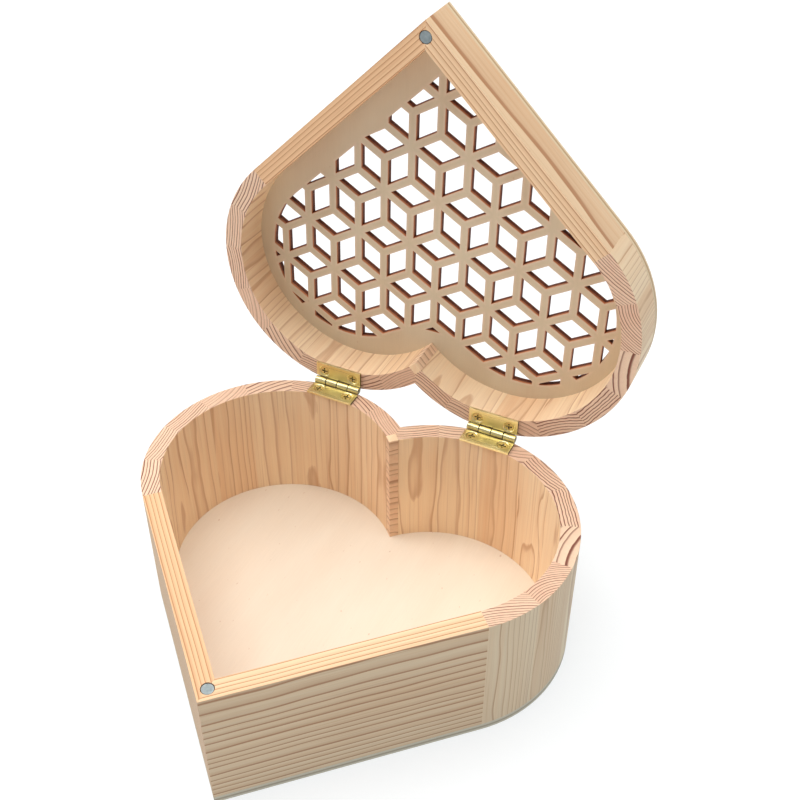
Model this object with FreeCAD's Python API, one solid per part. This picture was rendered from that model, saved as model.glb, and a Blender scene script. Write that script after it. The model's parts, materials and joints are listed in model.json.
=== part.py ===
"""Heart-shaped keepsake box of glued pine boards with a hinged fretwork lid.

Millimetres, +Z up. The origin is the centre of the base's footprint on the surface
it stands on. The tip of the heart points to -Y, the hinges are at +Y and the box is
symmetric about X = 0. The lid is drawn closed, then swung open by LID_OPEN_ANGLE,
which is how the box is stored.
"""
import FreeCAD
import Part
import math
import os

Vector = FreeCAD.Vector
UP = Vector(0, 0, 1)

# Heart outline, seen from above
LOBE_RADIUS = 51.7          # outer radius of each round lobe
LOBE_X = 32.6               # each lobe's centre, either side of the centre line
SIDE_ANGLE = 45.5           # degrees between a straight side and the centre line
WALL = 7.2                  # thickness of every board and stave

# Heights
BASE_WALL_HEIGHT = 52.5
PLY = 3.0                   # bottom panel and fretwork panel
LID_WALL_HEIGHT = 15.7
RIM_GAP = 3.2               # between the two rims when the lid lies parallel
LID_OPEN_ANGLE = 92.0       # degrees

# Staves round each lobe
STAVES = 8
STAVE_ARC = 22.5            # degrees
LAST_STAVE_END = 132.3      # degrees; the last stave stops short at the cleft

# Magnets at the tip
MAGNET_RADIUS = 2.1
MAGNET_THICKNESS = 3.0
MAGNET_RECESS = 0.2         # below the rim
MAGNET_HOLE_RADIUS = 2.35
MAGNET_FROM_TIP = 5.9

# Butt hinges
HINGE_X = 33.7
HINGE_LENGTH = 20.0
AXIS_FROM_BACK = 0.5        # pin axis in front of the back of the lobes
LEAF_REACH = 8.0            # from the pin axis to the far edge of the leaf
LEAF_THICKNESS = 0.9
KNUCKLES = 4
KNUCKLE_RADIUS = 1.4
KNUCKLE_GAP = 0.3
NOTCH_GAP = 0.3             # from a leaf's notch to the other leaf's knuckle
PIN_RADIUS = 0.5
PIN_CLEARANCE = 0.05        # in the lid's knuckles, which turn on the pin

# Hinge screws
SCREW_X = 6.4               # either side of the hinge's middle
SCREW_FROM_AXIS = 4.3
SCREW_SUNK = 0.3            # top of the head below the leaf
SCREW_HEAD_RADIUS = 2.05    # the head is a 45 degree cone
SCREW_SHANK_RADIUS = 1.0
SCREW_SHANK_LENGTH = 6.5
SCREW_POINT_LENGTH = 1.5
CROSS_LENGTH = 2.6
CROSS_WIDTH = 0.6
CROSS_DEPTH = 0.6
SCREWED_STAVES = (6, 7)     # the staves under the hinge leaves

# Fretwork: bars from each star point to the middles of the six triangles round it
STAR_PITCH = 21.9
ROW_PITCH = 19.88
FIRST_ROW = -71.4           # from the line through the lobe centres
BAR = 3.0
FRET_LOBE_RADIUS = 34.1
FRET_LOBE_X = 37.0
FRET_LOBE_BACK = 3.2        # pattern's lobe centres behind the heart's
FRET_CLEFT_BACK = 25.0      # where the pattern stops at the cleft
SMALLEST_HOLE = 2.0         # mm2; smaller openings are left uncut
FIRST_CELLS = -1            # the tip's two small openings hang from a row before the first
ROWS = 7
COLUMNS = 5

# Derived sizes
SIDE_COS = math.cos(math.radians(SIDE_ANGLE))
SIDE_SIN = math.sin(math.radians(SIDE_ANGLE))
TIP_DISTANCE = (LOBE_RADIUS + LOBE_X * SIDE_COS) / SIDE_SIN
LOBE_Y = (TIP_DISTANCE - LOBE_RADIUS) / 2
INNER_RADIUS = LOBE_RADIUS - WALL
BASE_RIM_Z = PLY + BASE_WALL_HEIGHT
LID_RIM_Z = BASE_RIM_Z + RIM_GAP
AXIS_Y = LOBE_Y + LOBE_RADIUS - AXIS_FROM_BACK
AXIS_Z = BASE_RIM_Z + RIM_GAP / 2
MAGNET_Y = LOBE_Y - TIP_DISTANCE + MAGNET_FROM_TIP


def lobe_point(side, radius, angle):
    """Point at an angle round one lobe; side is +1 for the right, -1 for the left."""
    turn = math.radians(angle)
    return Vector(side * (LOBE_X + radius * math.cos(turn)), LOBE_Y + radius * math.sin(turn), 0)


def lobe_arc(side, radius, start, end):
    ends = [lobe_point(side, radius, angle) for angle in (start, (start + end) / 2, end)]
    return Part.Arc(*ends).toShape()


def line(start, end):
    return Part.makeLine(start, end)


def tip_point(radius, lobe_x=LOBE_X, lobe_y=LOBE_Y):
    """Where the two straight sides tangent to lobes of this radius meet."""
    return Vector(0, lobe_y - (radius + lobe_x * SIDE_COS) / SIDE_SIN, 0)


def cleft_angle(radius):
    """Angle round a lobe at which a circle of this radius meets the centre line."""
    return math.degrees(math.acos(-LOBE_X / radius))


def polygon_face(points):
    return Part.Face(Part.makePolygon(points + points[:1]))


def prism(edges, bottom, height):
    """Solid of the given height over the closed outline, from a bottom level."""
    solid = Part.Face(Part.Wire(edges)).extrude(Vector(0, 0, height))
    solid.translate(Vector(0, 0, bottom))
    return solid


def heart_outline():
    """Edges of the heart's outer outline, anticlockwise from the tip."""
    cleft = cleft_angle(LOBE_RADIUS)
    right_joint = lobe_point(1, LOBE_RADIUS, -SIDE_ANGLE)
    left_joint = lobe_point(-1, LOBE_RADIUS, -SIDE_ANGLE)
    tip = tip_point(LOBE_RADIUS)
    return [
        line(tip, right_joint),
        lobe_arc(1, LOBE_RADIUS, -SIDE_ANGLE, cleft),
        lobe_arc(-1, LOBE_RADIUS, cleft, -SIDE_ANGLE),
        line(left_joint, tip),
    ]


def straight_side(side, bottom, height):
    """Flat board from the tip mitre to the start of a lobe."""
    corners = [
        tip_point(LOBE_RADIUS),
        lobe_point(side, LOBE_RADIUS, -SIDE_ANGLE),
        lobe_point(side, INNER_RADIUS, -SIDE_ANGLE),
        tip_point(INNER_RADIUS),
    ]
    edges = [line(corners[i - 1], corners[i]) for i in range(len(corners))]
    return prism(edges, bottom, height)


def stave(side, number, bottom, height):
    """Curved stave; the last one is mitred against its neighbour at the cleft."""
    start = -SIDE_ANGLE + (number - 1) * STAVE_ARC
    end = start + STAVE_ARC
    if number < STAVES:
        back = [line(lobe_point(side, LOBE_RADIUS, end), lobe_point(side, INNER_RADIUS, end))]
        outer_end = end
        inner_end = end
    else:
        outer_end = cleft_angle(LOBE_RADIUS)
        inner_end = LAST_STAVE_END
        notch = cleft_notch()
        back = [
            line(lobe_point(side, LOBE_RADIUS, outer_end), notch),
            line(notch, lobe_point(side, INNER_RADIUS, inner_end)),
        ]
    outer = lobe_arc(side, LOBE_RADIUS, start, outer_end)
    inner = lobe_arc(side, INNER_RADIUS, inner_end, start)
    front = line(lobe_point(side, INNER_RADIUS, start), lobe_point(side, LOBE_RADIUS, start))
    return prism([outer] + back + [inner, front], bottom, height)


def cleft_notch():
    """Back corner of the notch that the two last staves leave inside the cleft."""
    turn = math.radians(180 - LAST_STAVE_END)
    return Vector(0, LOBE_Y + LOBE_X * math.tan(turn), 0)


def cleft_strip(bottom, height):
    """Narrow strip filling that notch, with its faces following the inner curves."""
    inner = cleft_angle(INNER_RADIUS)
    notch = cleft_notch()
    edges = [
        line(notch, lobe_point(1, INNER_RADIUS, LAST_STAVE_END)),
        lobe_arc(1, INNER_RADIUS, LAST_STAVE_END, inner),
        lobe_arc(-1, INNER_RADIUS, inner, LAST_STAVE_END),
        line(lobe_point(-1, INNER_RADIUS, LAST_STAVE_END), notch),
    ]
    return prism(edges, bottom, height)


def turned_over(shape):
    """Mirror from the base's side of the hinge to the lid's side, lid closed."""
    return shape.mirror(Vector(0, 0, AXIS_Z), UP)


def magnet_bore():
    """Hole in the base's rim, open at the top."""
    depth = MAGNET_THICKNESS + MAGNET_RECESS
    return Part.makeCylinder(MAGNET_HOLE_RADIUS, depth, Vector(0, MAGNET_Y, BASE_RIM_Z - depth))


def magnet():
    bottom = BASE_RIM_Z - MAGNET_RECESS - MAGNET_THICKNESS
    return Part.makeCylinder(MAGNET_RADIUS, MAGNET_THICKNESS, Vector(0, MAGNET_Y, bottom))


def screw_centres(side):
    y = AXIS_Y - SCREW_FROM_AXIS
    return [Vector(side * HINGE_X + x, y, BASE_RIM_Z) for x in (-SCREW_X, SCREW_X)]


def screw_blank(centre):
    """Countersunk screw without its cross, in the base; centre is on the rim."""
    head_bottom_radius = SCREW_HEAD_RADIUS - (LEAF_THICKNESS - SCREW_SUNK)
    head = Part.makeCone(head_bottom_radius, SCREW_HEAD_RADIUS, LEAF_THICKNESS - SCREW_SUNK, centre)
    shank_bottom = centre - UP * SCREW_SHANK_LENGTH
    shank = Part.makeCylinder(SCREW_SHANK_RADIUS, SCREW_SHANK_LENGTH, shank_bottom)
    point = Part.makeCone(SCREW_SHANK_RADIUS, 0, SCREW_POINT_LENGTH, shank_bottom, -UP)
    return head.fuse([shank, point])


def screw(centre):
    """The same screw with its cross-shaped recess."""
    top = centre + UP * (LEAF_THICKNESS - SCREW_SUNK)
    half_length = CROSS_LENGTH / 2
    half_width = CROSS_WIDTH / 2
    along_x = Part.makeBox(CROSS_LENGTH, CROSS_WIDTH, CROSS_DEPTH)
    along_x.translate(top - Vector(half_length, half_width, CROSS_DEPTH))
    along_y = Part.makeBox(CROSS_WIDTH, CROSS_LENGTH, CROSS_DEPTH)
    along_y.translate(top - Vector(half_width, half_length, CROSS_DEPTH))
    return screw_blank(centre).cut([along_x, along_y])


def countersink(centre):
    bottom_radius = SCREW_HEAD_RADIUS - (LEAF_THICKNESS - SCREW_SUNK)
    return Part.makeCone(bottom_radius, bottom_radius + LEAF_THICKNESS, LEAF_THICKNESS, centre)


def knuckle_start(side, number):
    """Lowest X of a knuckle counted from the hinge's outer end."""
    length = HINGE_LENGTH / KNUCKLES
    middle = side * (HINGE_X + HINGE_LENGTH / 2 - (number + 0.5) * length)
    return middle - length / 2 + KNUCKLE_GAP / 2


def hinge_leaf(side, first_knuckle, bore_radius):
    """Leaf lying on the base's rim, with every second knuckle from the first one."""
    plate_y = AXIS_Y - LEAF_REACH
    notch_y = AXIS_Y - KNUCKLE_RADIUS - NOTCH_GAP
    knuckle_length = HINGE_LENGTH / KNUCKLES - KNUCKLE_GAP
    leaf = Part.makeBox(HINGE_LENGTH, notch_y - plate_y, LEAF_THICKNESS,
                        Vector(side * HINGE_X - HINGE_LENGTH / 2, plate_y, BASE_RIM_Z))
    for number in range(first_knuckle, KNUCKLES, 2):
        x = knuckle_start(side, number)
        neck = Part.makeBox(knuckle_length, AXIS_Y - notch_y, LEAF_THICKNESS,
                            Vector(x, notch_y, BASE_RIM_Z))
        barrel = Part.makeCylinder(KNUCKLE_RADIUS, knuckle_length, Vector(x, AXIS_Y, AXIS_Z),
                                   Vector(1, 0, 0))
        leaf = leaf.fuse([neck, barrel])
    bore = Part.makeCylinder(bore_radius, HINGE_LENGTH,
                             Vector(side * HINGE_X - HINGE_LENGTH / 2, AXIS_Y, AXIS_Z),
                             Vector(1, 0, 0))
    sinks = [countersink(centre) for centre in screw_centres(side)]
    return leaf.cut([bore] + sinks).removeSplitter()


def hinge_pin(side):
    length = HINGE_LENGTH - KNUCKLE_GAP
    return Part.makeCylinder(PIN_RADIUS, length,
                             Vector(side * HINGE_X - length / 2, AXIS_Y, AXIS_Z), Vector(1, 0, 0))


def star(row, column):
    """Star point of the fretwork; every other row is shifted by half a pitch."""
    shift = 0.5 * (row % 2)
    return Vector((column + shift) * STAR_PITCH, LOBE_Y + FIRST_ROW + row * ROW_PITCH, 0)


def middle(points):
    total = Vector(0, 0, 0)
    for point in points:
        total = total + point
    return total / len(points)


def inset(points, distance):
    """Corners of an anticlockwise polygon moved in by a distance from every edge."""
    moved = []
    count = len(points)
    for i in range(count):
        here = points[i]
        before = (here - points[i - 1]).normalize()
        after = (points[(i + 1) % count] - here).normalize()
        bend = before.x * after.y - before.y * after.x
        moved.append(here + (after - before) * (distance / bend))
    return moved


def fret_cells():
    """Diamond between each pair of neighbouring stars, inset by half a bar."""
    cells = []
    for row in range(FIRST_CELLS, ROWS):
        for column in range(-COLUMNS, COLUMNS):
            here = star(row, column)
            right = star(row, column + 1)
            up_left = star(row + 1, column - 1 + row % 2)
            up_right = star(row + 1, column + row % 2)
            up_far = star(row + 1, column + 1 + row % 2)
            down_right = star(row - 1, column + row % 2)
            above = middle([here, right, up_right])
            below = middle([here, right, down_right])
            left_above = middle([here, up_left, up_right])
            right_above = middle([right, up_right, up_far])
            cells.append([here, below, right, above])
            cells.append([here, above, up_right, left_above])
            cells.append([right, right_above, up_right, above])
    return [inset(cell, BAR / 2) for cell in cells]


def fret_border():
    """Face inside which the fretwork is cut: a smaller heart with a blunt cleft."""
    centre_y = LOBE_Y + FRET_LOBE_BACK
    cleft_y = LOBE_Y + FRET_CLEFT_BACK
    reach = math.sqrt(FRET_LOBE_RADIUS ** 2 - (cleft_y - centre_y) ** 2)
    cleft_x = FRET_LOBE_X - reach
    touch_x = FRET_LOBE_X + FRET_LOBE_RADIUS * SIDE_COS
    touch_y = centre_y - FRET_LOBE_RADIUS * SIDE_SIN
    body = polygon_face([
        tip_point(FRET_LOBE_RADIUS, FRET_LOBE_X, centre_y),
        Vector(touch_x, touch_y, 0),
        Vector(FRET_LOBE_X, centre_y, 0),
        Vector(cleft_x, cleft_y, 0),
        Vector(-cleft_x, cleft_y, 0),
        Vector(-FRET_LOBE_X, centre_y, 0),
        Vector(-touch_x, touch_y, 0),
    ])
    discs = []
    for side in (1, -1):
        circle = Part.makeCircle(FRET_LOBE_RADIUS, Vector(side * FRET_LOBE_X, centre_y, 0))
        discs.append(Part.Face(Part.Wire([circle])))
    return body.fuse(discs).removeSplitter()


def fret_panel(bottom):
    """Heart-shaped ply panel with the diamond openings cut through it."""
    border = fret_border()
    openings = []
    for cell in fret_cells():
        for face in polygon_face(cell).common(border).Faces:
            if face.Area > SMALLEST_HOLE:
                openings.append(face.OuterWire)
    outline = Part.Wire(heart_outline())
    face = Part.makeFace([outline] + openings, "Part::FaceMakerBullseye")
    panel = face.extrude(Vector(0, 0, PLY))
    panel.translate(Vector(0, 0, bottom))
    return panel


def case_walls(name, bottom, height, drilled, screws):
    """Boards, staves and cleft strip of the base or the lid, by node name.

    The boards lose the magnet's hole; the staves under a hinge lose the screws' holes.
    """
    walls = {name + "_cleft_strip": cleft_strip(bottom, height)}
    for side, label in ((-1, "left"), (1, "right")):
        walls[f"{name}_{label}_side"] = straight_side(side, bottom, height).cut(drilled)
        for number in range(1, STAVES + 1):
            piece = stave(side, number, bottom, height)
            if number in SCREWED_STAVES:
                piece = piece.cut(screws[side])
            walls[f"{name}_{label}_stave_{number}"] = piece
    return walls


def base_parts():
    """Everything that stays with the base, by node name."""
    screws = {side: [screw_blank(c) for c in screw_centres(side)] for side in (-1, 1)}
    parts = case_walls("base", PLY, BASE_WALL_HEIGHT, magnet_bore(), screws)
    parts["base_bottom_panel"] = prism(heart_outline(), 0, PLY)
    parts["base_magnet"] = magnet()
    for side, label in ((-1, "left"), (1, "right")):
        parts[f"hinge_{label}_base_leaf"] = hinge_leaf(side, 0, PIN_RADIUS)
        parts[f"hinge_{label}_pin"] = hinge_pin(side)
        heads = [screw(centre) for centre in screw_centres(side)]
        parts[f"hinge_{label}_base_screws"] = Part.makeCompound(heads)
    return parts


def lid_parts():
    """Everything that turns with the lid, by node name, drawn closed."""
    screws = {}
    for side in (-1, 1):
        screws[side] = [turned_over(screw_blank(c)) for c in screw_centres(side)]
    parts = case_walls("lid", LID_RIM_Z, LID_WALL_HEIGHT, turned_over(magnet_bore()), screws)
    parts["lid_fret_panel"] = fret_panel(LID_RIM_Z + LID_WALL_HEIGHT)
    parts["lid_magnet"] = turned_over(magnet())
    for side, label in ((-1, "left"), (1, "right")):
        leaf = hinge_leaf(side, 1, PIN_RADIUS + PIN_CLEARANCE)
        parts[f"hinge_{label}_lid_leaf"] = turned_over(leaf)
        heads = [turned_over(screw(centre)) for centre in screw_centres(side)]
        parts[f"hinge_{label}_lid_screws"] = Part.makeCompound(heads)
    return parts


def main():
    os.makedirs("parts", exist_ok=True)
    parts = base_parts()
    for name, shape in lid_parts().items():
        shape.rotate(Vector(0, AXIS_Y, AXIS_Z), Vector(1, 0, 0), -LID_OPEN_ANGLE)
        parts[name] = shape
    for name, shape in parts.items():
        shape.exportStep(f"parts/{name}.step")


main()
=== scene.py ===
"""Looks of the heart-shaped keepsake box: pine, plywood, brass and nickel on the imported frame.

Wood patterns are worked out in the closed box, in millimetres, so the grain runs on from
the base into the lid, which was sawn off the same glued body.
"""

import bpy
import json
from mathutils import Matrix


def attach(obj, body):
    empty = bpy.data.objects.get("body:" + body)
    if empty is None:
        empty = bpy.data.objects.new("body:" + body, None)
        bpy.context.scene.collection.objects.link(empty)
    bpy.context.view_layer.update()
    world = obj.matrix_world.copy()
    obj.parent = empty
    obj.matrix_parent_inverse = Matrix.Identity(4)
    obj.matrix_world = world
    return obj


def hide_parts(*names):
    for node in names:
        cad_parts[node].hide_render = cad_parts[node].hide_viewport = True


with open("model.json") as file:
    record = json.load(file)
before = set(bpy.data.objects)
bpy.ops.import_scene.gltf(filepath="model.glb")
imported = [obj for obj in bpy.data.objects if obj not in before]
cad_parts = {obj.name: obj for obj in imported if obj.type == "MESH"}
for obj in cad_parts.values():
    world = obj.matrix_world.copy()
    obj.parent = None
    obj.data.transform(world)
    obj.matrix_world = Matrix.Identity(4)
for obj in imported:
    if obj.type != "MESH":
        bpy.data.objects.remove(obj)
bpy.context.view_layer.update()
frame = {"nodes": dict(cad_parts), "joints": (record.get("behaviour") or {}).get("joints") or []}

import json
import math

import bpy
from mathutils import Matrix, Vector
from mathutils.geometry import delaunay_2d_cdt

MM = 0.001

SIDES = {"left": -1, "right": 1}
BODIES = ("base", "lid")
X_AXIS = Vector((1, 0, 0))
Y_AXIS = Vector((0, 1, 0))
Z_AXIS = Vector((0, 0, 1))

# The part's driving sizes, in millimetres and degrees
LOBE_RADIUS = 51.7
LOBE_X = 32.6
LOBE_Y = 26.41
WALL = 7.2
SIDE_ANGLE = 45.5
STAVE_ARC = 22.5
PLY = 3.0
LID_TOP_Z = 77.4
LID_OPEN_ANGLE = 92.0
MIDDLE_RADIUS = LOBE_RADIUS - WALL / 2

# Fretwork sheet: eased edge, and rings at these distances from each cut
FRET_EASE = 0.10
SCORCH_RINGS = (0.40, 0.80, 1.20)
FRET_SHARP_ANGLE = 25       # degrees
NO_CUT = 9.0                # stands for a distance beyond every scorch mark
SHARPEST_CORNER = 2.5       # a corner moves in by at most this many times the edge's distance

# Rounding of sharp edges, in millimetres
EASE_SIDE = 0.18
EASE_THIN = 0.10            # staves, strips, plywood and hinge leaves
EASE_SMALL = 0.06           # screws and pins
EASE_SEGMENTS = 2
EASE_ANGLE = 30             # degrees; edges that turn less stay as they are
WELD_REACH = 0.002

# Studio floor and the low walls at its edge, in metres
FLOOR_REACH = 6.0
BACKDROP_HEIGHT = 1.0

# Camera: place in metres, turn in degrees, lens and sensor in millimetres
CAMERA_PLACE = (0.149013, -0.245599, 0.353727)
CAMERA_TURN = (51.2054, 2.2028, 28.5155)
CAMERA_LENS = 52.25
CAMERA_SENSOR = 36
CAMERA_SHIFT = (0.09375, -0.01485)
CAMERA_NEAREST = 0.01

# Soft lights: place and target in metres, width and height, watts, colour
SOFT_BOXES = {
    "key": ((-0.1, 0.12, 1.3), (0, 0.05, 0), (1.5, 1.5), 23.5, (1.0, 0.97, 0.93)),
    "left_fill": ((-1.2, -0.35, 0.9), (0, 0, 0.1), (0.8, 0.8), 8, (1.0, 0.98, 0.95)),
    "front_fill": ((0.1, -1.4, 0.9), (0, 0, 0.1), (1.4, 0.9), 0.3, (1.0, 0.99, 0.96)),
}
SKY_COLOUR = (0.82, 0.92, 1.0, 1)
SKY_STRENGTH = 0.22
FLOOR_GLOW_COLOUR = (0.95, 0.98, 1.0, 1)
FLOOR_GLOW = 0.66
FLOOR_DARK = (0.38, 0.38, 0.38, 1)
FLOOR_PALE = (0.40, 0.40, 0.40, 1)

# Growth rings seen on each stave's end, from the tip round to the cleft. The angle is
# between the rings and the wall, the pith distance is positive outside the lobe.
# angle, pith distance, ring spacing, strength of the dark lines
RINGS = {
    "left": [
        (-12, 70, 1.20, 1.15),
        (-6, 60, 1.15, 0.85),
        (6, 60, 1.10, 0.85),
        (28, 45, 1.40, 0.45),
        (25, -60, 2.00, 1.00),
        (2, 80, 1.20, 0.80),
        (-18, -60, 1.60, 0.80),
        (-8, 50, 1.15, 0.45),
    ],
    "right": [
        (25, 60, 1.00, 0.80),
        (32, 17, 0.95, 0.80),
        (12, 38, 2.50, 1.00),
        (0, -70, 1.30, 1.00),
        (-4, 70, 1.30, 1.00),
        (-20, 60, 1.90, 0.55),
        (-9, 50, 1.30, 0.75),
        (3, 60, 1.30, 0.90),
    ],
}

# Staves whose lines wander more than the others', and how far each kind wanders
WAVY_STAVES = {("right", 4), ("right", 5), ("right", 6)}
WAVY_WANDER = 1.4
STAVE_WANDER = 0.55
STAVE_SIDE_STRENGTH = 0.62
STAVE_SEEDS = {"left": 10.0, "right": 30.0}

# Staves come in four tones, from the palest up
PALEST_STAVE = 0.05
TONE_STEP = 0.15
TONES = 4
TONE_ORDER = 5

# Straight sides: pith's place outward of the board and above the table, ring spacing,
# seed and warmth
SIDE_BOARDS = {
    "left": (-105.0, 84.0, 1.60, 3.2, 1.1),
    "right": (-92.0, 75.0, 1.50, 8.6, 0.55),
}
BOARD_STRENGTH = 0.9
BOARD_SIDE_STRENGTH = 1.8
BOARD_WANDER = 0.35

# Cleft strips, whose grain runs from front to back
CLEFT_PITH_BEHIND = 60      # behind the centres of the lobes
CLEFT_SPACING = 3.2
CLEFT_STRENGTH = 0.5
CLEFT_SIDE_STRENGTH = 0.7
CLEFT_SEED = 4.4
CLEFT_WARMTH = 0.4
CLEFT_WANDER = 1.0

# Kinds of figure, in millimetres, or in metres for the floor: scale along each axis, then
# scale of the whole and detail. In pine the third axis runs along the grain.
BENDS = ((1, 1, 0.45), 0.035, 2.0)
WOBBLES = ((1, 1, 0.12), 0.35, 1.0)
RING_DRIFT = ((1, 1, 1), 0.16, 1.0)
FIBRES = ((1, 1, 0.02), 3.2, 3.0)
STREAKS = ((1, 1, 0.015), 0.55, 2.0)
FINE_STREAKS = ((1, 1, 0.012), 1.1, 1.0)
BLOTCHES = ((1, 1, 0.20), 0.045, 2.0)
PORES = ((1, 1, 1), 4.5, 2.0)
VENEER_FIBRES = ((1, 0.04, 1), 2.4, 3.0)
VENEER_FIGURE = ((1, 0.25, 1), 0.05, 3.0)
VENEER_SPECKS = ((1, 0.5, 1), 0.7, 1.0)
PLY_EDGE_GRAIN = ((1, 1, 2), 1.8, 3.0)
SCORCH_PATCHES = ((1, 1, 1), 0.12, 2.0)
CHAR_STRIPES = ((2.5, 2.5, 0.25), 1.0, 2.0)
BRASS_SCRATCHES = ((0.12, 2.0, 2.0), 1.6, 3.0)
BRASS_PATCHES = ((1, 1, 1), 0.25, 2.0)
NICKEL_CLOUDS = ((1, 1, 1), 0.8, 3.0)
TURNING_MARKS = ((1, 1, 1), 6.0, 2.0)
FLOOR_CLOUDS = ((1, 1, 1), 3.0, 1.0)

# Growth rings: what a seed moves the figure and the rings by, how much the ring spacing
# wanders, and each line's strength. Bands are shares of a ring, from its pale early wood
# to its dark late wood.
SEED_SHIFT = (37.3, -19.1, 53.7)
SEED_RINGS = 7.31
WOBBLE_SHARE = 0.12
DRIFT_SHARE = 0.55
RING_WEIGHTS = (0.7, 1.2)
BAND_CLOSES = (0.95, 1.0)
END_BAND = (0.58, 0.84)
SIDE_BAND = (0.78, 0.93)

# Pine's colour: how strongly each thing shows
TONE_CHANGE = 0.22
FIBRE_CONTRAST = 0.045
PORE_CONTRAST = 0.07
RING_DARKENS = 0.26         # slowly, through each ring
FINE_FROM = 0.35            # of the fine streaks only the strongest show
FINE_DARKENS = 0.22
LINE_DARKENS = 0.68
END_WARMER = 0.10
END_RING_DARKENS = 0.12
END_LINE_DARKENS = 0.95

# Pine's surface: roughness, and heights in millimetres
WOOD_SHEEN = {"Specular IOR Level": 0.30}
WOOD_ROUGHNESS = 0.58
FIBRE_ROUGHER = 0.05
LINE_SMOOTHER = -0.10
FIBRE_HEIGHT = 0.010
STREAK_HEIGHT = 0.010
LINE_HEIGHT = 0.006
PORE_HEIGHT = 0.015

# How squarely a face has to face along the grain, or outward, to be an end or an outside
END_FACING = (0.5, 0.9)
OUTER_FACING = (0.6, 0.9)

# Plywood: roughness, relief in millimetres, and the layers on its edge
PLY_ROUGHNESS = 0.55
VENEER_RELIEF = 0.006
VENEER_WARMTH = 0.35
VENEER_CHANGE = 0.4
VENEER_CONTRAST = 0.02
SPECK_RANGE = (0.95, 1.3)   # only the very strongest of the noise makes a speck
SPECK_DARKENS = 0.35
PLY_EDGE_CONTRAST = 0.06
CORE_HALF = PLY / 6
CORE_BLUR = 0.05
FLAT_FACING = (0.4, 0.8)

# Scorch marks beside a laser cut: their usual reach in millimetres, its change from place
# to place and how strongly they show
SCORCH_REACH = 0.95
SCORCH_CHANGE = 0.25
SCORCH_ENDS = 1.4           # times the reach
SCORCH_SHOWS = 0.45

# Char in a cut, palest just above the sheet's lower face, in millimetres
CHAR_PALENESS = 0.35
CHAR_CHANGE = 0.35
CHAR_ROUGHER = 0.2
CHAR_PALEST = 0.2
CHAR_DARKEST = 1.6
CHAR_PALER = 0.9
CHAR_FACING = (0.55, 0.85)
CUT_EDGE = 0.12

# Metal: roughness, tone, relief in millimetres and painted shade in gaps
LEAF_ROUGHNESS = 0.30
HEAD_ROUGHNESS = 0.32
NICKEL_ROUGHNESS = 0.42
NICKEL_ROUGHER = 0.08
NICKEL_PALENESS = 0.5
NICKEL_CHANGE = 0.4
BRASS_DARKNESS = 0.3
BRASS_CHANGE = 0.2
SCRATCH_ROUGHER = 0.04
GAP_ROUGHER = 0.3
SCRATCH_HEIGHT = 0.001
TURNING_HEIGHT = 0.006
GAP_SHADE_REACH = 0.8            # millimetres from other metal
GAP_SHADE_RANGE = (0.40, 0.85)   # from a closed gap to an open face
GAP_SHADE_DARKENS = 0.95
CUT_END_FACING = (0.8, 0.95)
CUT_END_DARKENS = 0.8


def srgb(red, green, blue):
    """Linear colour of a display colour given as 0 to 255."""
    def linear(value):
        value /= 255
        return value / 12.92 if value <= 0.04045 else ((value + 0.055) / 1.055) ** 2.4
    return (linear(red), linear(green), linear(blue), 1.0)


# Pine: faces along the grain, then sawn ends, each with its palest and warmest tone
# and its dark lines
SIDE_LIGHT = srgb(251, 226, 191)
SIDE_WARM = srgb(234, 192, 150)
SIDE_LINE = srgb(176, 114, 70)
END_LIGHT = srgb(240, 208, 180)
END_WARM = srgb(230, 188, 160)
END_LINE = srgb(112, 44, 28)

# Painted shade: the outside is made greyer and darker than the inside, as if in shade, most on the base's
# left side
# and least on the lid: the share of the tint, by the start of the node's name, where the first that fits
# counts
OUTER_SHADE_TINT = (0.50, 0.59, 0.65, 1.0)
OUTER_SHADE_SHARE = {"base_left": 0.72, "base": 0.54, "lid": 0.24}

# Plywood: faces of the two sheets, then the layers on their edges; the bottom's edge layers are a greyer,
# darker copy, painted shade
PLY_LIGHT = srgb(237, 227, 211)
PLY_WARM = srgb(231, 215, 196)
FRET_LIGHT = srgb(219, 202, 174)
FRET_WARM = srgb(206, 180, 148)
PLY_EDGE = srgb(222, 200, 166)
PLY_CORE = srgb(188, 156, 120)
BOTTOM_EDGE_SHADED = srgb(196, 190, 172)
BOTTOM_CORE_SHADED = srgb(164, 154, 136)

# Laser marks: on the face beside a cut, then on the walls of the cut
SCORCH = srgb(232, 204, 182)
CHAR_DARK = srgb(66, 28, 16)
CHAR_LIGHT = srgb(144, 74, 44)
CHAR_EDGE = srgb(214, 136, 90)

# Metal
LEAF_LIGHT = srgb(250, 238, 184)
LEAF_DARK = srgb(232, 212, 146)
HEAD_LIGHT = srgb(238, 220, 160)
HEAD_DARK = srgb(206, 178, 114)
# Colour of the painted shade in the brass's gaps
BRASS_GAP_SHADE = srgb(40, 22, 8)
NICKEL_DARK = srgb(118, 128, 132)
NICKEL_LIGHT = srgb(154, 164, 166)

# Origin and axes of a piece whose pattern lies straight in its own frame
FLAT = (Vector((0, 0, 0)), [X_AXIS, Y_AXIS, Z_AXIS])


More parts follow.
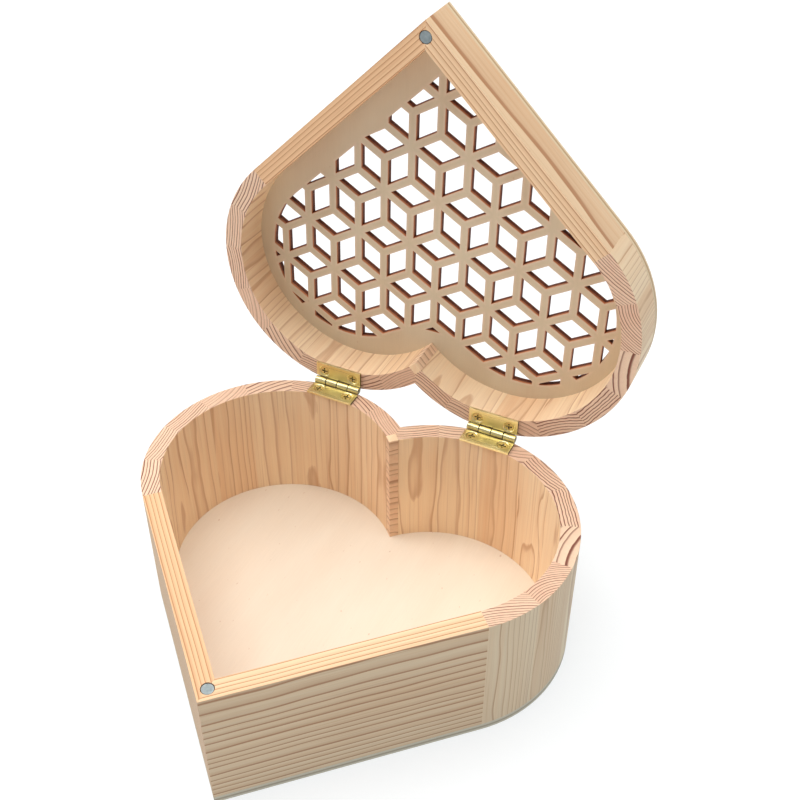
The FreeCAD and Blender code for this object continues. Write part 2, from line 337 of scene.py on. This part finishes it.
class Graph:
    """Adds shader nodes to a tree; every method gives the socket with its result."""

    def __init__(self, tree):
        self.tree = tree

    def node(self, kind, inputs=None, **settings):
        made = self.tree.nodes.new(kind)
        for name, value in settings.items():
            setattr(made, name, value)
        for name, value in (inputs or {}).items():
            self.feed(made.inputs[name], value)
        return made

    def feed(self, socket, value):
        if isinstance(value, bpy.types.NodeSocket):
            self.tree.links.new(value, socket)
        else:
            socket.default_value = value

    def math(self, operation, first, second=0.0, clamp=False):
        made = self.node("ShaderNodeMath", {0: first, 1: second}, operation=operation)
        made.use_clamp = clamp
        return made.outputs[0]

    def add(self, first, second):
        return self.math("ADD", first, second)

    def times(self, first, second):
        return self.math("MULTIPLY", first, second)

    def vector(self, operation, first, second=(0, 0, 0)):
        made = self.node("ShaderNodeVectorMath", {0: first, 1: second}, operation=operation)
        return made.outputs["Value" if operation in ("LENGTH", "DOT_PRODUCT") else "Vector"]

    def figure(self, place, kind):
        """Noise of one of the kinds of figure, from about -1 to 1."""
        axes, scale, detail = kind
        place = self.vector("MULTIPLY", place, axes)
        inputs = {"Vector": place, "Scale": scale, "Detail": detail, "Roughness": 0.5}
        made = self.node("ShaderNodeTexNoise", inputs, noise_dimensions="3D")
        return self.ramp(made.outputs["Fac"], 0.25, 0.75, -1.0, 1.0, clamp=False, kind="LINEAR")

    def level_in_sheet(self, place):
        return self.node("ShaderNodeSeparateXYZ", {0: place}).outputs["Z"]

    def ramp(self, value, low, high, to_low=0.0, to_high=1.0, clamp=True, kind="SMOOTHSTEP"):
        """Value moved from the range low to high into the range to_low to to_high."""
        inputs = {"Value": value, "From Min": low, "From Max": high,
                  "To Min": to_low, "To Max": to_high}
        made = self.node("ShaderNodeMapRange", inputs, interpolation_type=kind)
        made.clamp = clamp
        return made.outputs["Result"]

    def mix(self, factor, first, second, blend="MIX"):
        made = self.node("ShaderNodeMix", data_type="RGBA", blend_type=blend)
        made.clamp_factor = True
        self.feed(made.inputs[0], factor)
        self.feed(made.inputs[6], first)
        self.feed(made.inputs[7], second)
        return made.outputs[2]

    def shade(self, colour, change, amount):
        """Colour made lighter or darker, by up to the amount, as the change goes from -1 to 1."""
        value = self.add(self.times(change, amount), 1.0)
        grey = self.node("ShaderNodeCombineColor", {"Red": value, "Green": value, "Blue": value})
        return self.mix(1.0, colour, grey.outputs[0], "MULTIPLY")


def new_group(name, inputs, outputs):
    """Node group with float or vector inputs; gives its graph and its input sockets."""
    tree = bpy.data.node_groups.new(name, "ShaderNodeTree")
    kinds = {"float": "NodeSocketFloat", "vector": "NodeSocketVector", "color": "NodeSocketColor"}
    for label, kind in inputs.items():
        tree.interface.new_socket(label, in_out="INPUT", socket_type=kinds[kind])
    for label, kind in outputs.items():
        tree.interface.new_socket(label, in_out="OUTPUT", socket_type=kinds[kind])
    graph = Graph(tree)
    return graph, graph.node("NodeGroupInput").outputs


def pine_group():
    """Growth rings round a pith at the origin, the grain running along the third axis."""
    values = ("End", "Outer Shade", "Spacing", "Strength", "Side Strength", "Seed", "Wander", "Warmth")
    inputs = {"Place": "vector", **{name: "float" for name in values}}
    outputs = {"Color": "color", "Roughness": "float", "Height": "float"}
    graph, given = new_group("pine", inputs, outputs)
    shift = [graph.times(given["Seed"], millimetres) for millimetres in SEED_SHIFT]
    shift = graph.node("ShaderNodeCombineXYZ", dict(enumerate(shift))).outputs[0]
    place = graph.vector("ADD", given["Place"], shift)
    place_in_ring, weight = growth_rings(graph, given, place)
    end_late = late_wood(graph, place_in_ring, weight, END_BAND, given["Strength"])
    late = late_wood(graph, place_in_ring, weight, SIDE_BAND, given["Side Strength"])

    fibre = graph.figure(place, FIBRES)
    streak = graph.figure(place, STREAKS)
    blotch = graph.figure(place, BLOTCHES)
    pores = graph.figure(place, PORES)
    warm = graph.times(graph.add(blotch, streak), TONE_CHANGE)
    warm = graph.add(warm, given["Warmth"])
    side = side_colour(graph, given, place, place_in_ring, warm, fibre, late)
    end = end_colour(graph, place_in_ring, warm, pores, end_late)

    rough = graph.add(graph.times(fibre, FIBRE_ROUGHER), WOOD_ROUGHNESS)
    rough = graph.add(rough, graph.times(late, LINE_SMOOTHER))
    height = graph.add(graph.times(fibre, FIBRE_HEIGHT), graph.times(streak, STREAK_HEIGHT))
    height = graph.add(height, graph.times(late, LINE_HEIGHT))
    height = graph.add(height, graph.times(graph.times(pores, given["End"]), PORE_HEIGHT))
    colour = graph.mix(given["End"], side, end)
    graph.node("NodeGroupOutput", {"Color": colour, "Roughness": rough, "Height": height})
    return graph.tree


def late_wood(graph, place_in_ring, weight, band, strength):
    """The dark line that ends each ring, from 0 to 1."""
    late = graph.times(graph.ramp(place_in_ring, *band), weight)
    return graph.math("MULTIPLY", late, strength, clamp=True)


def side_colour(graph, given, place, place_in_ring, warm, fibre, late):
    """Faces along the grain: each ring darkens slowly, then has its dark line; outward faces get painted
    shade.
    """
    side = graph.mix(warm, SIDE_LIGHT, SIDE_WARM)
    side = graph.shade(side, fibre, FIBRE_CONTRAST)
    slow = graph.times(graph.math("POWER", place_in_ring, 2.0), given["Side Strength"])
    side = graph.mix(graph.times(slow, RING_DARKENS), side, SIDE_LINE)
    fine = graph.ramp(graph.figure(place, FINE_STREAKS), FINE_FROM, 1.0, 0.0, FINE_DARKENS)
    side = graph.mix(fine, side, SIDE_LINE)
    side = graph.mix(graph.times(late, LINE_DARKENS), side, SIDE_LINE)
    # Painted shade: outward faces are multiplied by the grey tint
    shaded_side = graph.mix(1.0, side, OUTER_SHADE_TINT, "MULTIPLY")
    return graph.mix(given["Outer Shade"], side, shaded_side)


def end_colour(graph, place_in_ring, warm, pores, late):
    """Sawn ends: broader, darker lines and open pores."""
    end = graph.mix(graph.add(warm, END_WARMER), END_LIGHT, END_WARM)
    end = graph.shade(end, pores, PORE_CONTRAST)
    end = graph.mix(graph.times(place_in_ring, END_RING_DARKENS), end, END_LINE)
    return graph.mix(graph.times(late, END_LINE_DARKENS), end, END_LINE)


def growth_rings(graph, given, place):
    """Place in the ring, from 0 to 1, and how dark that ring's line is."""
    # Distance from the pith, with slow bends and small wobbles along the grain
    radius = graph.vector("LENGTH", graph.vector("MULTIPLY", given["Place"], (1, 1, 0)))
    bend = graph.figure(place, BENDS)
    wobble = graph.figure(place, WOBBLES)
    radius = graph.add(radius, graph.times(bend, given["Wander"]))
    radius = graph.add(radius, graph.times(graph.times(wobble, WOBBLE_SHARE), given["Wander"]))

    # The spacing drifts from ring to ring
    drift = graph.node("ShaderNodeCombineXYZ", {"X": radius, "Y": given["Seed"]}).outputs[0]
    drift = graph.figure(drift, RING_DRIFT)
    phase = graph.math("DIVIDE", radius, given["Spacing"])
    phase = graph.add(phase, graph.times(drift, DRIFT_SHARE))
    ring = graph.add(graph.math("FLOOR", phase), graph.times(given["Seed"], SEED_RINGS))
    place_in_ring = graph.math("FRACT", phase)
    weight = graph.node("ShaderNodeTexWhiteNoise", {"W": ring}, noise_dimensions="1D")
    weight = graph.ramp(weight.outputs["Value"], 0, 1, *RING_WEIGHTS)
    weight = graph.times(graph.ramp(place_in_ring, *BAND_CLOSES, 1.0, 0.0), weight)
    return place_in_ring, weight


def material(name, **constants):
    """New material; gives it, its graph and its Principled shader with the constants set."""
    made = bpy.data.materials.new(name)
    made.use_nodes = True
    made.node_tree.nodes.clear()
    graph = Graph(made.node_tree)
    shader = graph.node("ShaderNodeBsdfPrincipled", constants)
    graph.node("ShaderNodeOutputMaterial", {"Surface": shader.outputs[0]})
    return made, graph, shader


def local_place(graph, board=FLAT):
    """Millimetres from the board's origin, along its three axes, for the point shaded."""
    origin, axes = board
    point = graph.node("ShaderNodeTexCoord").outputs["Object"]
    offset = graph.vector("SUBTRACT", point, tuple(origin))
    parts = [graph.vector("DOT_PRODUCT", offset, tuple(axis / MM)) for axis in axes]
    return graph.node("ShaderNodeCombineXYZ", dict(enumerate(parts))).outputs[0]


def facing(graph, axis):
    """How squarely the surface faces along an axis, either way, from 0 to 1."""
    normal = graph.node("ShaderNodeTexCoord").outputs["Normal"]
    return graph.math("ABSOLUTE", graph.vector("DOT_PRODUCT", normal, tuple(axis)))


def bump(graph, shader, height):
    """Bumps for a height in millimetres."""
    made = graph.node("ShaderNodeBump", {"Height": height, "Distance": MM})
    graph.feed(shader.inputs["Normal"], made.outputs[0])


def pine(name, board, spacing, strength, side_strength, seed, warmth, wander):
    """Pine for one board or stave; board is its origin on the pith and its three axes."""
    made, graph, shader = material(name, **WOOD_SHEEN)
    outward, _, along_grain = board[1]
    end = graph.ramp(facing(graph, along_grain), *END_FACING)
    normal = graph.node("ShaderNodeTexCoord").outputs["Normal"]
    # How much painted shade the faces that face outward get, set by the node's name
    outer = graph.vector("DOT_PRODUCT", normal, tuple(outward))
    shade_share = next(value for start, value in OUTER_SHADE_SHARE.items() if name.startswith(start))
    outer = graph.ramp(outer, *OUTER_FACING, 0.0, shade_share)
    group = graph.node("ShaderNodeGroup", node_tree=PINE)
    values = {
        "Place": local_place(graph, board),
        "End": end,
        "Outer Shade": outer,
        "Spacing": spacing,
        "Strength": strength,
        "Side Strength": side_strength,
        "Seed": seed,
        "Wander": wander,
        "Warmth": warmth,
    }
    for label, value in values.items():
        graph.feed(group.inputs[label], value)
    graph.feed(shader.inputs["Base Color"], group.outputs["Color"])
    graph.feed(shader.inputs["Roughness"], group.outputs["Roughness"])
    bump(graph, shader, group.outputs["Height"])
    return made


def opened(board):
    """The same board after the lid has swung open."""
    origin, axes = board
    turned = OPEN.to_3x3()
    return OPEN @ origin, [turned @ axis for axis in axes]


def stave_board(side, number, angle, distance):
    """Pith and axes of a stave: two axes across the grain, then straight up."""
    turn = math.radians(-SIDE_ANGLE + (number - 0.5) * STAVE_ARC)
    outward = Vector((side * math.cos(turn), math.sin(turn), 0))
    along = Vector((-side * math.sin(turn), math.cos(turn), 0))
    tilt = math.radians(angle)
    pith = outward * (MIDDLE_RADIUS + distance * math.cos(tilt))
    pith -= along * distance * math.sin(tilt)
    centre = Vector((side * LOBE_X, LOBE_Y, 0))
    return (centre + pith) * MM, [outward, along, Z_AXIS]


def side_board(side, pith_out, pith_up):
    """Pith and axes of a straight side: outward, up, then along the board."""
    turn = math.radians(SIDE_ANGLE)
    outward = Vector((side * math.cos(turn), -math.sin(turn), 0))
    along = Vector((side * math.sin(turn), math.cos(turn), 0))
    face = Vector((side * LOBE_X, LOBE_Y, 0)) + outward * MIDDLE_RADIUS
    origin = face + outward * pith_out + Z_AXIS * pith_up
    return origin * MM, [outward, Z_AXIS, along]


def cleft_board():
    """Pith and axes of a cleft strip, whose grain runs from front to back."""
    return Y_AXIS * (LOBE_Y + CLEFT_PITH_BEHIND) * MM, [X_AXIS, Z_AXIS, Y_AXIS]


def in_both_bodies(board):
    """The two bodies, each with the board where it is in that body."""
    return zip(BODIES, (board, opened(board)))


def ease(piece, width):
    """Joins the split vertices of a CAD mesh and rounds its sharp edges a little."""
    join = piece.modifiers.new("join", "WELD")
    join.merge_threshold = WELD_REACH * MM
    round_off = piece.modifiers.new("ease", "BEVEL")
    round_off.width = width * MM
    round_off.segments = EASE_SEGMENTS
    round_off.limit_method = "ANGLE"
    round_off.angle_limit = math.radians(EASE_ANGLE)
    shading = piece.modifiers.new("shading", "WEIGHTED_NORMAL")
    shading.mode = "FACE_AREA"


def dress(node, made, width):
    """Gives a CAD node its material and eased edges."""
    piece = frame["nodes"][node]
    piece.data.materials.clear()
    piece.data.materials.append(made)
    ease(piece, width)


def dress_staves():
    for label, side in SIDES.items():
        for number, (angle, distance, spacing, strength) in enumerate(RINGS[label], 1):
            board = stave_board(side, number, angle, distance)
            seed = STAVE_SEEDS[label] + number
            warmth = PALEST_STAVE + TONE_STEP * ((number * TONE_ORDER + side) % TONES)
            wander = WAVY_WANDER if (label, number) in WAVY_STAVES else STAVE_WANDER
            for body, placed in in_both_bodies(board):
                node = f"{body}_{label}_stave_{number}"
                made = pine(node, placed, spacing, strength, STAVE_SIDE_STRENGTH, seed, warmth, wander)
                dress(node, made, EASE_THIN)


def dress_sides():
    for label, side in SIDES.items():
        pith_out, pith_up, spacing, seed, warmth = SIDE_BOARDS[label]
        for body, placed in in_both_bodies(side_board(side, pith_out, pith_up)):
            node = f"{body}_{label}_side"
            made = pine(node, placed, spacing, BOARD_STRENGTH, BOARD_SIDE_STRENGTH, seed, warmth,
                        BOARD_WANDER)
            dress(node, made, EASE_SIDE)


def dress_clefts():
    for body, placed in in_both_bodies(cleft_board()):
        node = f"{body}_cleft_strip"
        made = pine(node, placed, CLEFT_SPACING, CLEFT_STRENGTH, CLEFT_SIDE_STRENGTH, CLEFT_SEED,
                    CLEFT_WARMTH, CLEFT_WANDER)
        dress(node, made, EASE_THIN)


def ply_bottom():
    """Pale veneer on the faces, three layers on the edge."""
    made, graph, shader = material("bottom_ply", Roughness=PLY_ROUGHNESS, **WOOD_SHEEN)
    place = local_place(graph)
    colour, height = veneer(graph, place, PLY_LIGHT, PLY_WARM)
    level = graph.level_in_sheet(place)
    flatness = facing(graph, Z_AXIS)
    # The bottom's edge takes the greyer layer colours, painted shade
    colour = layers(graph, place, level, colour, flatness, (BOTTOM_EDGE_SHADED, BOTTOM_CORE_SHADED))
    graph.feed(shader.inputs["Base Color"], colour)
    bump(graph, shader, height)
    return made


def veneer(graph, place, light, warm):
    """Peeled veneer with faint figure along Y and a few specks: colour and height."""
    fibre = graph.figure(place, VENEER_FIBRES)
    tone = graph.times(graph.figure(place, VENEER_FIGURE), VENEER_CHANGE)
    colour = graph.mix(graph.add(tone, VENEER_WARMTH), light, warm)
    colour = graph.shade(colour, fibre, VENEER_CONTRAST)
    speck = graph.ramp(graph.figure(place, VENEER_SPECKS), *SPECK_RANGE, 0.0, SPECK_DARKENS)
    colour = graph.mix(speck, colour, SIDE_LINE)
    return colour, graph.times(fibre, VENEER_RELIEF)


def layers(graph, place, level, face_colour, flatness, edge_colours):
    """Layer colours on a plywood edge, outer and middle; level is the height in the sheet."""
    grain = graph.figure(place, PLY_EDGE_GRAIN)
    middle = graph.math("ABSOLUTE", graph.add(level, -PLY / 2))
    core = graph.ramp(middle, CORE_HALF - CORE_BLUR, CORE_HALF + CORE_BLUR, 1.0, 0.0)
    edge = graph.mix(core, *edge_colours)
    edge = graph.shade(edge, grain, PLY_EDGE_CONTRAST)
    return graph.mix(graph.ramp(flatness, *FLAT_FACING), edge, face_colour)


def brass(name, light, dark, roughness):
    """Bright rolled brass with fine scratches, painted shade in its gaps, and darker on the leaves' cut
    ends.
    """
    made, graph, shader = material(name, Metallic=1.0)
    place = local_place(graph)
    scratch = graph.figure(place, BRASS_SCRATCHES)
    patch = graph.times(graph.figure(place, BRASS_PATCHES), BRASS_CHANGE)
    colour = graph.mix(graph.add(patch, BRASS_DARKNESS), light, dark)
    # Painted shade: metal near other metal, found by ambient occlusion, is darkened towards dark brown;
    # faces along X are darkened as well
    gap = graph.node("ShaderNodeAmbientOcclusion", {"Distance": GAP_SHADE_REACH * MM}, samples=16)
    gap_shade_and_dark_ends = graph.ramp(gap.outputs["AO"], *GAP_SHADE_RANGE, GAP_SHADE_DARKENS, 0.0)
    cut_end = graph.ramp(facing(graph, X_AXIS), *CUT_END_FACING, 0.0, CUT_END_DARKENS)
    gap_shade_and_dark_ends = graph.math("MAXIMUM", gap_shade_and_dark_ends, cut_end)
    graph.feed(shader.inputs["Base Color"], graph.mix(gap_shade_and_dark_ends, colour, BRASS_GAP_SHADE))
    rough = graph.add(graph.times(scratch, SCRATCH_ROUGHER), roughness)
    rough = graph.add(rough, graph.times(gap_shade_and_dark_ends, GAP_ROUGHER))
    graph.feed(shader.inputs["Roughness"], rough)
    bump(graph, shader, graph.times(scratch, SCRATCH_HEIGHT))
    return made


def nickel():
    """Bluish plated magnet with fine turning marks."""
    made, graph, shader = material("magnet", Metallic=0.9)
    place = local_place(graph)
    cloud = graph.figure(place, NICKEL_CLOUDS)
    tint = graph.add(graph.times(cloud, NICKEL_CHANGE), NICKEL_PALENESS)
    tint = graph.mix(tint, NICKEL_DARK, NICKEL_LIGHT)
    graph.feed(shader.inputs["Base Color"], tint)
    rough = graph.add(graph.times(cloud, NICKEL_ROUGHER), NICKEL_ROUGHNESS)
    graph.feed(shader.inputs["Roughness"], rough)
    bump(graph, shader, graph.times(graph.figure(place, TURNING_MARKS), TURNING_HEIGHT))
    return made


def dress_metal():
    leaf = brass("hinge_brass", LEAF_LIGHT, LEAF_DARK, LEAF_ROUGHNESS)
    head = brass("screw_brass", HEAD_LIGHT, HEAD_DARK, HEAD_ROUGHNESS)
    plated = nickel()
    for label in SIDES:
        for body in BODIES:
            dress(f"hinge_{label}_{body}_leaf", leaf, EASE_THIN)
            dress(f"hinge_{label}_{body}_screws", head, EASE_SMALL)
        dress(f"hinge_{label}_pin", head, EASE_SMALL)
    for body in BODIES:
        dress(f"{body}_magnet", plated, EASE_SIDE)


def flat_outlines(node, to_closed, level, near=0.01):
    """Closed outlines of the face of a CAD node that lies at a level, in millimetres.

    An outline's edges are those that only one triangle of the face has.
    """
    mesh = node.data
    points = [to_closed @ vertex.co / MM for vertex in mesh.vertices]
    keys = [(round(p.x, 3), round(p.y, 3)) for p in points]
    edges = {}
    for face in mesh.polygons:
        if all(abs(points[i].z - level) < near for i in face.vertices):
            ring = [keys[i] for i in face.vertices]
            edges.update(dict.fromkeys(zip(ring, ring[1:] + ring[:1])))
    follow = {start: end for start, end in edges if (end, start) not in edges}
    outlines = []
    while follow:
        start, here = follow.popitem()
        outline = [start]
        while here != start:
            outline.append(here)
            here = follow.pop(here)
        outlines.append([Vector(point) for point in outline])
    return outlines


def corners(outline):
    """Each point with the directions of the edges before and after it."""
    for i, here in enumerate(outline):
        before = (here - outline[i - 1]).normalized()
        after = (outline[(i + 1) % len(outline)] - here).normalized()
        yield here, before, after


def moved_in(outline, distance):
    """Outline moved to its left by a distance; very sharp corners are cut short."""
    moved = []
    for here, before, after in corners(outline):
        left = Vector((-before.y - after.y, before.x + after.x))
        spread = max(left.length / 2, 1 / SHARPEST_CORNER)
        moved.append(here + left.normalized() * (distance / spread))
    return moved


def without_straight_points(outline, least_turn=0.001):
    """The outline without the points in the middle of straight runs."""
    turns = [(here, before.cross(after)) for here, before, after in corners(outline)]
    return [here for here, turn in turns if abs(turn) > least_turn]


def area(outline):
    """Signed area, positive for an anticlockwise outline."""
    pairs = zip(outline, outline[1:] + outline[:1])
    return sum(p.x * q.y - p.y * q.x for p, q in pairs) / 2


def inside(point, outline):
    """Whether a point is inside a closed outline."""
    found = False
    for p, q in zip(outline, outline[1:] + outline[:1]):
        if (p.y > point.y) != (q.y > point.y):
            if point.x < p.x + (point.y - p.y) * (q.x - p.x) / (q.y - p.y):
                found = not found
    return found


def fret_rings(outlines):
    """Each outline moved in, and further rings round each hole.

    Gives the points, the links between them, each point's distance to a laser cut and
    the numbers of the points in each outline's first ring.
    """
    points = []
    links = []
    cuts = []
    first_rings = []
    for outline in outlines:
        is_hole = area(outline) < 0
        first_rings.append(range(len(points), len(points) + len(outline)))
        for depth in (FRET_EASE,) + (SCORCH_RINGS if is_hole else ()):
            start = len(points)
            size = len(outline)
            points += moved_in(outline, depth)
            cuts += [depth if is_hole else NO_CUT] * size
            links += [(start + i, start + (i + 1) % size) for i in range(size)]
    return points, links, cuts, first_rings


def fret_face(outlines):
    """The sheet's flat face: points, triangles, distances to a cut and outlines' point numbers."""
    points, links, cuts, first_rings = fret_rings(outlines)
    flat, _, triangles, sources, _, _ = delaunay_2d_cdt(points, links, [], 0, 1e-5)
    rims = [([points[i] for i in ring], area(outline)) for ring, outline in zip(first_rings, outlines)]
    kept = []
    for triangle in triangles:
        middle = sum((flat[i] for i in triangle), Vector((0, 0))) / 3
        if all(inside(middle, rim) == (size > 0) for rim, size in rims):
            kept.append(tuple(triangle))
    distances = [min((cuts[i] for i in source), default=SCORCH_RINGS[0]) for source in sources]
    new_number = {old: new for new, source in enumerate(sources) for old in source}
    edges = [[new_number[i] for i in ring] for ring in first_rings]
    return flat, kept, distances, edges


def fret_mesh(outlines):
    """The whole sheet: vertices, faces and distances to a cut; its underside is at zero."""
    flat, triangles, distances, edges = fret_face(outlines)
    count = len(flat)
    vertices = [(p.x, p.y, PLY) for p in flat] + [(p.x, p.y, 0) for p in flat]
    distances = distances * 2
    faces = triangles + [tuple(count + i for i in reversed(t)) for t in triangles]
    for outline, edge in zip(outlines, edges):
        start = len(vertices)
        size = len(outline)
        vertices += [(p.x, p.y, PLY - FRET_EASE) for p in outline]
        vertices += [(p.x, p.y, FRET_EASE) for p in outline]
        distances += [0.0 if area(outline) < 0 else NO_CUT] * (2 * size)
        for i in range(size):
            j = (i + 1) % size
            upper, next_upper = start + i, start + j
            lower, next_lower = start + size + i, start + size + j
            faces.append((upper, next_upper, edge[j], edge[i]))
            faces.append((lower, next_lower, next_upper, upper))
            faces.append((count + edge[i], count + edge[j], next_lower, lower))
    return vertices, faces, distances


def fret_panel():
    """Fretwork sheet with finely eased cut edges, built on the CAD panel's outlines.

    Its vertices carry the distance to the nearest laser-cut edge, for the scorch marks.
    """
    outlines = flat_outlines(frame["nodes"]["lid_fret_panel"], OPEN.inverted(), LID_TOP_Z)
    outlines = [without_straight_points(outline) for outline in outlines]
    vertices, faces, distances = fret_mesh(outlines)
    mesh = bpy.data.meshes.new("fret_panel")
    mesh.from_pydata([Vector(v) * MM for v in vertices], [], faces)
    mesh.attributes.new("cut_distance", "FLOAT", "POINT").data.foreach_set("value", distances)
    mesh.shade_smooth()
    mesh.set_sharp_from_angle(angle=math.radians(FRET_SHARP_ANGLE))
    panel = bpy.data.objects.new("fret_panel", mesh)
    bpy.context.scene.collection.objects.link(panel)
    panel.matrix_world = OPEN @ Matrix.Translation((0, 0, (LID_TOP_Z - PLY) * MM))
    mesh.materials.append(fret_ply())
    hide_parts("lid_fret_panel")
    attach(panel, "lid")


def fret_ply():
    """Laser-cut plywood: scorched beside the cuts and charred inside them, less so low down."""
    made, graph, shader = material("fret_ply", **WOOD_SHEEN)
    place = local_place(graph)
    level = graph.level_in_sheet(place)
    flatness = facing(graph, Z_AXIS)
    cut = graph.node("ShaderNodeAttribute", attribute_name="cut_distance").outputs["Fac"]

    # Scorch marks on the faces, whose reach changes from place to place
    colour, height = veneer(graph, place, FRET_LIGHT, FRET_WARM)
    patch = graph.figure(place, SCORCH_PATCHES)
    reach = graph.add(graph.times(patch, SCORCH_CHANGE), SCORCH_REACH)
    halo = graph.ramp(graph.math("DIVIDE", cut, reach), 0.0, SCORCH_ENDS, 1.0, 0.0)
    colour = graph.mix(graph.times(halo, SCORCH_SHOWS), colour, SCORCH)
    colour = layers(graph, place, level, colour, flatness, (PLY_EDGE, PLY_CORE))

    # Charred walls of the cuts, striped from top to bottom
    stripes = graph.times(graph.figure(place, CHAR_STRIPES), CHAR_CHANGE)
    char = graph.mix(graph.add(stripes, CHAR_PALENESS), CHAR_DARK, CHAR_LIGHT)
    paler = graph.ramp(level, CHAR_PALEST, CHAR_DARKEST, CHAR_PALER, 0.0)
    char = graph.mix(paler, char, CHAR_EDGE)
    upright = graph.ramp(flatness, *CHAR_FACING, 1.0, 0.0)
    wall = graph.times(upright, graph.ramp(cut, 0.0, CUT_EDGE, 1.0, 0.0))
    colour = graph.mix(wall, colour, char)
    graph.feed(shader.inputs["Base Color"], colour)
    rough = graph.add(graph.times(wall, CHAR_ROUGHER), PLY_ROUGHNESS)
    graph.feed(shader.inputs["Roughness"], rough)
    bump(graph, shader, height)
    return made


def stage_floor():
    """Plain white floor that glows faintly, like a light table, with low walls at its edge."""
    glow = {"Emission Color": FLOOR_GLOW_COLOUR, "Emission Strength": FLOOR_GLOW}
    made, graph, shader = material("floor", Roughness=0.9, **glow, **{"Specular IOR Level": 0.05})
    cloud = graph.figure(graph.node("ShaderNodeTexCoord").outputs["Object"], FLOOR_CLOUDS)
    blend = graph.add(graph.times(cloud, 0.5), 0.5)
    graph.feed(shader.inputs["Base Color"], graph.mix(blend, FLOOR_DARK, FLOOR_PALE))
    mesh = bpy.data.meshes.new("floor")
    corner_signs = ((-1, -1), (1, -1), (1, 1), (-1, 1))
    points = [(x * FLOOR_REACH, y * FLOOR_REACH, z) for z in (0, BACKDROP_HEIGHT) for x, y in corner_signs]
    walls = [(i, i + 4, (i + 1) % 4 + 4, (i + 1) % 4) for i in range(4)]
    mesh.from_pydata(points, [], [(0, 1, 2, 3)] + walls)
    mesh.materials.append(made)
    floor = bpy.data.objects.new("floor", mesh)
    bpy.context.scene.collection.objects.link(floor)


def soft_box(name, place, target, size, power, colour):
    light = bpy.data.lights.new(name, "AREA")
    light.shape = "RECTANGLE"
    light.size, light.size_y = size
    light.energy = power
    light.color = colour
    holder = bpy.data.objects.new(name, light)
    holder.location = place
    holder.rotation_euler = (Vector(target) - Vector(place)).to_track_quat("-Z", "Y").to_euler()
    bpy.context.scene.collection.objects.link(holder)


def light_scene():
    world = bpy.data.worlds.new("studio")
    world.use_nodes = True
    background = world.node_tree.nodes["Background"]
    background.inputs["Color"].default_value = SKY_COLOUR
    background.inputs["Strength"].default_value = SKY_STRENGTH
    bpy.context.scene.world = world
    for name, settings in SOFT_BOXES.items():
        soft_box(name, *settings)


def place_camera():
    data = bpy.data.cameras.new("camera")
    data.lens = CAMERA_LENS
    data.sensor_width = CAMERA_SENSOR
    data.shift_x, data.shift_y = CAMERA_SHIFT
    data.clip_start = CAMERA_NEAREST
    camera = bpy.data.objects.new("camera", data)
    camera.location = CAMERA_PLACE
    camera.rotation_euler = [math.radians(turn) for turn in CAMERA_TURN]
    bpy.context.scene.collection.objects.link(camera)
    bpy.context.scene.camera = camera


hinge = Vector(frame["joints"][0]["pos_m"])
OPEN = (Matrix.Translation(hinge) @ Matrix.Rotation(math.radians(-LID_OPEN_ANGLE), 4, "X")
        @ Matrix.Translation(-hinge))
PINE = pine_group()
place_camera()
dress_staves()
dress_sides()
dress_clefts()
dress("base_bottom_panel", ply_bottom(), EASE_THIN)
fret_panel()
dress_metal()
stage_floor()
light_scene()
bpy.context.scene.view_settings.view_transform = "Standard"
